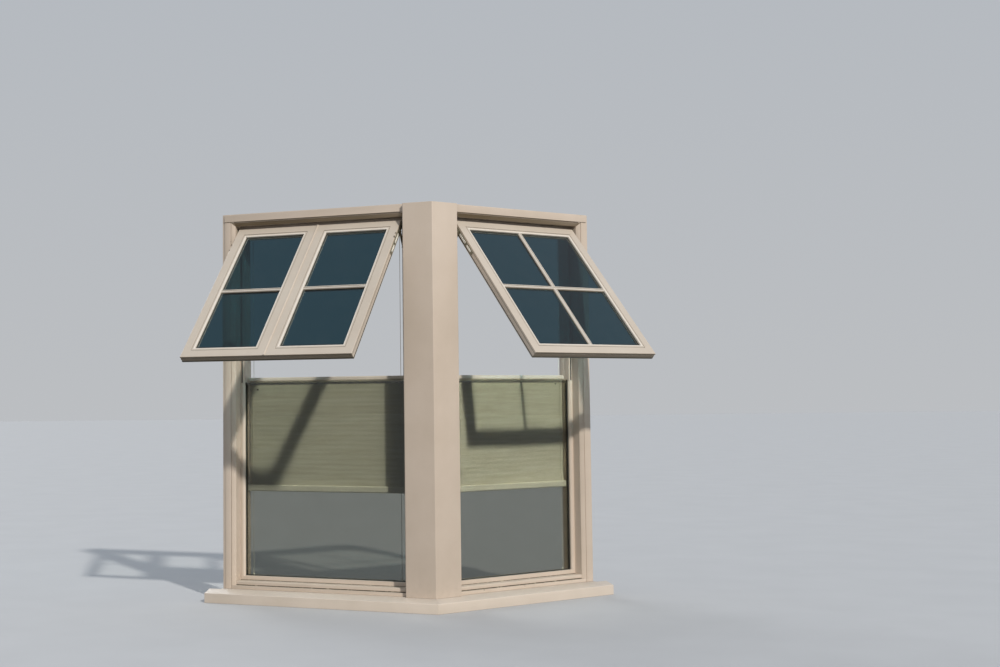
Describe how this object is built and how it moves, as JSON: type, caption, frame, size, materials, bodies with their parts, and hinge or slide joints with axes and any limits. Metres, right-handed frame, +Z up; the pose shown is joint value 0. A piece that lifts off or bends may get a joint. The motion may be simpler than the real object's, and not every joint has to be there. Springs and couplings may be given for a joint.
{
  "type": "corner bay window",
  "caption": "Painted timber corner bay window: two frames on a mitred sill and corner post, fixed lower lights with pleated blinds, top-hung sashes held open on stays.",
  "frame": {"origin": "the point on the sill's underside straight below the outer corner of the corner post's two faces", "axes": "+Z up, -Y straight outward through the corner, +X to the right seen from outside; each frame's face runs back at 30 degrees from the X axis"},
  "size_m": [1.9185, 0.9026, 1.631],
  "materials": {
    "painted_wood": "semi-gloss cream paint",
    "glass": "clear",
    "glazing_rubber": "matte",
    "blind_rail": "satin cream",
    "blind_fabric": "pleated polyester",
    "cord": "braided",
    "stainless": "brushed"
  },
  "bodies": {
    "root": {"corner_post": "painted_wood", "sill_left": "painted_wood", "inner_jamb_left": "painted_wood", "outer_jamb_left": "painted_wood", "head_left": "painted_wood", "head_board_left": "painted_wood", "bottom_member_left": "painted_wood", "closing_stop_left": "painted_wood", "glazing_bead_left": "painted_wood", "fixed_pane_left": "glass", "pane_cap_left": "glazing_rubber", "blind_top_rail_left": "blind_rail", "blind_bottom_rail_left": "blind_rail", "blind_fabric_left": "blind_fabric", "guide_cord_inner_left": "cord", "guide_cord_outer_left": "cord", "friction_stay_inner_left": "stainless", "friction_stay_outer_left": "stainless", "sill_right": "painted_wood", "inner_jamb_right": "painted_wood", "outer_jamb_right": "painted_wood", "head_right": "painted_wood", "head_board_right": "painted_wood", "bottom_member_right": "painted_wood", "closing_stop_right": "painted_wood", "glazing_bead_right": "painted_wood", "fixed_pane_right": "glass", "pane_cap_right": "glazing_rubber", "blind_top_rail_right": "blind_rail", "blind_bottom_rail_right": "blind_rail", "blind_fabric_right": "blind_fabric", "guide_cord_inner_right": "cord", "guide_cord_outer_right": "cord", "friction_stay_inner_right": "stainless", "friction_stay_outer_right": "stainless", "sash_frame_left_inner": "painted_wood", "sash_glass_left_inner": "glass", "glazing_bars_left_inner": "painted_wood", "sash_frame_left_outer": "painted_wood", "sash_glass_left_outer": "glass", "glazing_bars_left_outer": "painted_wood", "sash_frame_right": "painted_wood", "sash_glass_right": "glass", "glazing_bars_right": "painted_wood", "joint_strip_left": "painted_wood"}
  },
  "joints": []
}
